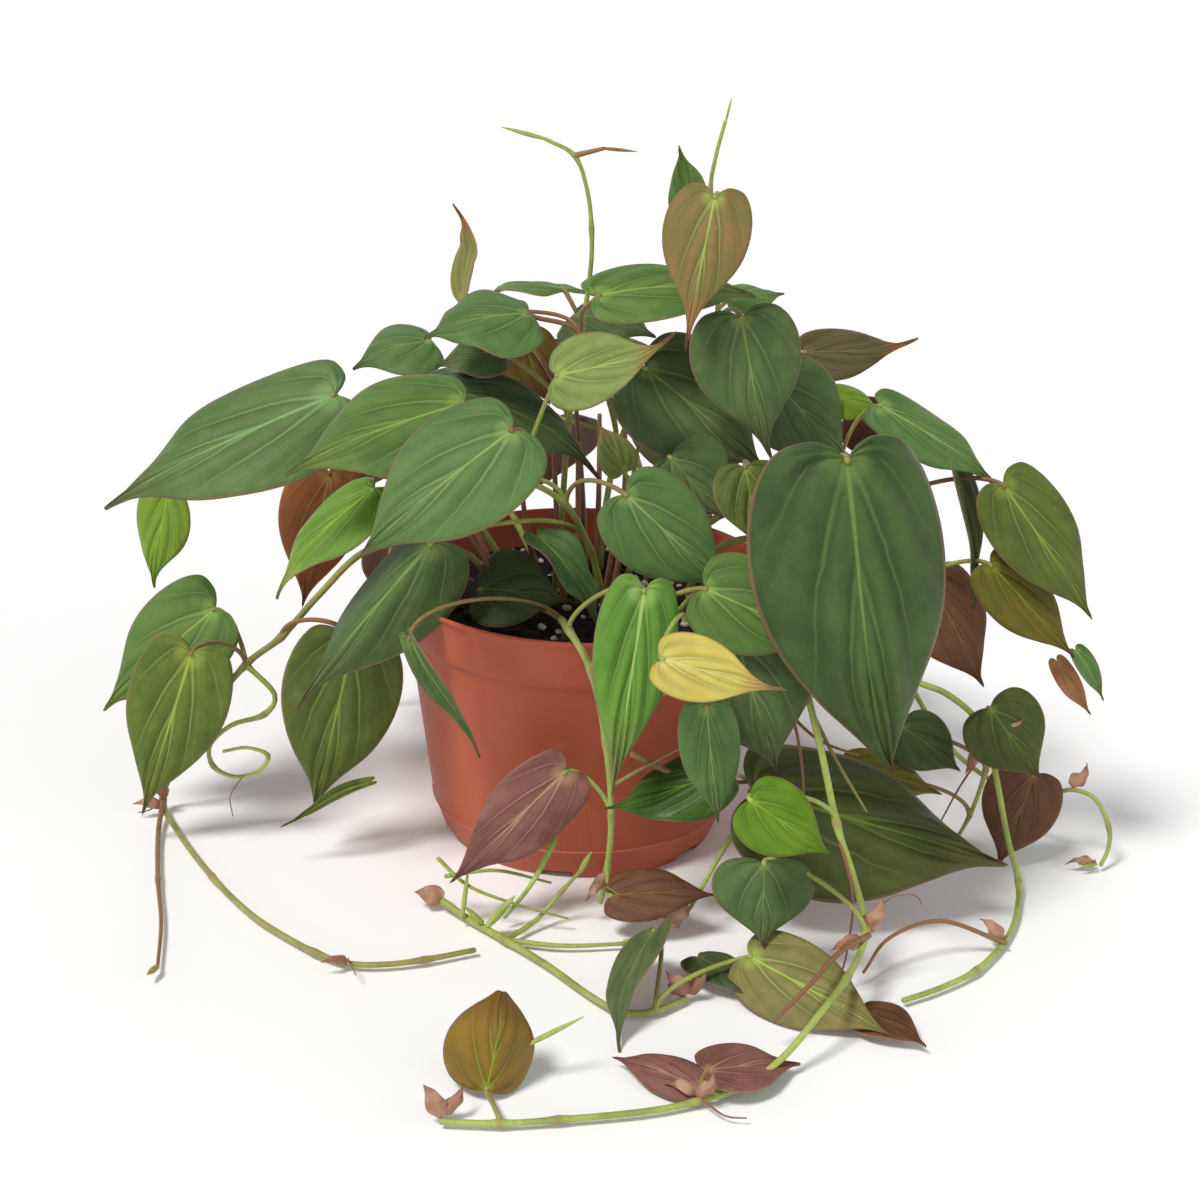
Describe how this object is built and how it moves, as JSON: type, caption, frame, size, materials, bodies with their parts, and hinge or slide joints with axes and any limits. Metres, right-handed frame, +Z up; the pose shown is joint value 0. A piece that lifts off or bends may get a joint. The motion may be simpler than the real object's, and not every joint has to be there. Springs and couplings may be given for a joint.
{
  "type": "potted philodendron",
  "caption": "Heart-leaf philodendron with velvety leaves on trailing vines, growing in a thin terracotta-coloured plastic nursery pot.",
  "frame": {"origin": "middle of the pot's foot, on the surface that the pot stands on", "axes": "+Z up along the pot's axis; -Y towards the side that the plant shows best, where the front vines trail; +X to the right, along the widest spread of the vines"},
  "size_m": [0.4114, 0.3735, 0.2903],
  "materials": {
    "pot_plastic": "satin moulded terracotta-coloured plastic",
    "mix": "dark damp peat and bark with white perlite grains",
    "stem_green": "smooth yellow-green stems, reddish towards some leaves",
    "leaf_green": "velvety green with pale veins",
    "leaf_fresh": "velvety light green, young leaf",
    "leaf_olive": "velvety olive",
    "leaf_bronze": "brown-red underside or ageing leaf",
    "leaf_yellow": "yellow ageing leaf"
  },
  "bodies": {
    "root": {"pot": "pot_plastic", "potting_mix": "mix", "vine_left": "stem_green", "vine_front": "stem_green", "vine_loop": "stem_green", "vine_arc": "stem_green", "vine_curl": "stem_green", "vine_crown": "stem_green", "vine_spire": "stem_green", "vine_mound_left": "stem_green", "vine_mound_front": "stem_green", "vine_mound_right": "stem_green", "vine_back": "stem_green", "vine_back_left": "stem_green", "vine_floor": "stem_green", "leaf_top_bronze": "leaf_bronze", "leaf_top_left": "leaf_green", "leaf_crown_1": "leaf_green", "leaf_crown_2": "leaf_green", "leaf_crown_5": "leaf_green", "leaf_left_long": "leaf_green", "leaf_left_broad": "leaf_green", "leaf_left_face": "leaf_green", "leaf_left_brown": "leaf_bronze", "leaf_left_hanging": "leaf_green", "leaf_left_low": "leaf_olive", "leaf_left_outer": "leaf_green", "leaf_left_outer_low": "leaf_olive", "leaf_over_mix": "leaf_green", "leaf_mid_long": "leaf_green", "leaf_mid_dark": "leaf_green", "leaf_mid_heart": "leaf_green", "leaf_mid_low": "leaf_olive", "leaf_mid_face": "leaf_green", "leaf_right_dark": "leaf_green", "leaf_right_under": "leaf_bronze", "leaf_right_shade": "leaf_green", "leaf_right_outer": "leaf_olive", "leaf_right_low": "leaf_bronze", "leaf_front_1": "leaf_green", "leaf_front_large": "leaf_green", "leaf_front_2": "leaf_green", "leaf_front_round": "leaf_green", "leaf_front_low": "leaf_green", "leaf_floor_2": "leaf_olive", "leaf_back_1": "leaf_green", "leaf_back_2": "leaf_green", "leaf_back_3": "leaf_olive", "leaf_back_4": "leaf_green", "leaf_back_5": "leaf_green", "leaf_back_6": "leaf_green", "leaf_back_7": "leaf_green", "leaf_back_8": "leaf_olive", "leaf_back_9": "leaf_green", "leaf_back_10": "leaf_olive", "leaf_back_11": "leaf_green", "leaf_back_12": "leaf_green", "leaf_back_13": "leaf_olive", "leaf_back_14": "leaf_green"}
  },
  "joints": []
}
